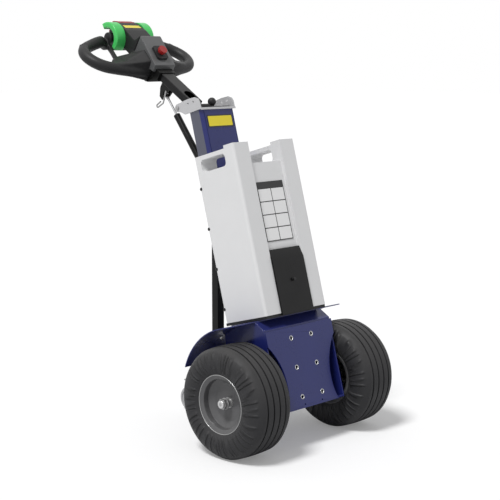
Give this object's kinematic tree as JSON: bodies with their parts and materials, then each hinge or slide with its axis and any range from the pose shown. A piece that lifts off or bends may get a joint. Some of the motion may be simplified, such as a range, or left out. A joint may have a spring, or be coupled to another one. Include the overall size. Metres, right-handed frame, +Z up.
{
  "type": "pedestrian electric tow tractor",
  "caption": "Walk-behind electric tow tractor: two pneumatic drive wheels, hitch plate, lift-out battery case, leaning mast, tilting tiller with ring handle, rear castor.",
  "frame": {"origin": "middle of the base of the whole machine's box, on the floor", "axes": "+Z up, +Y back towards the tiller, +X across"},
  "size_m": [0.6156, 0.9632, 1.2671],
  "materials": {
    "tyre_rubber": "matt moulded rubber",
    "rim_paint": "satin grey paint",
    "hub_steel": "turned steel",
    "blue_paint": "gloss powder coat",
    "case_white": "smooth moulded plastic",
    "black_plastic": "fine grained moulded plastic",
    "black_steel": "semi-gloss powder coat",
    "mast_aluminium": "anodised extrusion",
    "bracket_zinc": "light grey coat",
    "green_plastic": "gloss moulded plastic",
    "red_plastic": "gloss moulded plastic",
    "label_film": "blank film",
    "drive_iron": "dark paint",
    "castor_tread": "grey rubber",
    "rod_steel": "polished"
  },
  "bodies": {
    "frame": {"axle_tube_left": "black_steel", "axle_tube_right": "black_steel", "battery_case": "case_white", "battery_tray": "black_plastic", "castor_mount": "hub_steel", "chassis_box": "blue_paint", "head_bracket": "bracket_zinc", "head_knob": "black_plastic", "hitch_plate": "blue_paint", "label_plate": "label_film", "latch_knob": "hub_steel", "latch_plate": "black_steel", "mast_column": "mast_aluminium", "mast_cover": "blue_paint", "mudguard": "blue_paint", "pivot_pin": "hub_steel", "rear_arm": "black_steel", "rear_stay": "black_steel", "spring_bracket": "black_steel", "stop_pad": "black_plastic", "transaxle": "drive_iron"},
    "left_wheel": {"tyre_left": "tyre_rubber", "rim_left": "rim_paint", "hub_left": "hub_steel"},
    "right_wheel": {"tyre_right": "tyre_rubber", "rim_right": "rim_paint", "hub_right": "hub_steel"},
    "castor_yoke": {"castor_fork": "hub_steel"},
    "castor_roller": {"castor_wheel": "castor_tread"},
    "tiller_arm": {"tiller_tube": "black_steel", "tiller_lug": "black_steel", "tiller_head": "black_plastic", "console": "black_plastic", "stop_button_base": "black_plastic", "stop_button": "red_plastic", "belly_button": "red_plastic", "head_clamp": "black_plastic", "release_lever": "hub_steel", "throttle_left": "green_plastic", "throttle_right": "green_plastic"},
    "spring_barrel": {"gas_cylinder": "black_steel"},
    "spring_rod": {"gas_rod": "rod_steel"}
  },
  "joints": [
    {"name": "left_wheel_spin", "type": "hinge", "parent": "frame", "child": "left_wheel", "pos_m": [-0.2325, -0.31659, 0.165], "axis": [1, 0, 0], "continuous": true},
    {"name": "right_wheel_spin", "type": "hinge", "parent": "frame", "child": "right_wheel", "pos_m": [0.2325, -0.31659, 0.165], "axis": [1, 0, 0], "continuous": true},
    {"name": "castor_swivel", "type": "hinge", "parent": "frame", "child": "castor_yoke", "pos_m": [0, 0.08541, 0.0997], "axis": [0, 0, 1], "continuous": true},
    {"name": "castor_spin", "type": "hinge", "parent": "castor_yoke", "child": "castor_roller", "pos_m": [0, 0.12541, 0.04], "axis": [1, 0, 0], "continuous": true},
    {"name": "tiller_tilt", "type": "hinge", "parent": "frame", "child": "tiller_arm", "pos_m": [0, 0.09886, 0.9905], "axis": [1, 0, 0], "range_deg": [-30, 35]},
    {"name": "spring_swing", "type": "hinge", "parent": "frame", "child": "spring_barrel", "pos_m": [0, -0.00186, 0.72272], "axis": [1, 0, 0], "range_deg": [-9.44, 10.93]},
    {"name": "spring_extend", "type": "slide", "parent": "spring_barrel", "child": "spring_rod", "axis": [0, 0.6124, 0.7905], "range_m": [-0.0424, 0.0493]}
  ],
  "couplings": [
    {"joint": "spring_swing", "follows": "tiller_tilt", "ratio": 0.298},
    {"joint": "spring_extend", "follows": "tiller_tilt", "m_per_rad": 0.0791}
  ]
}
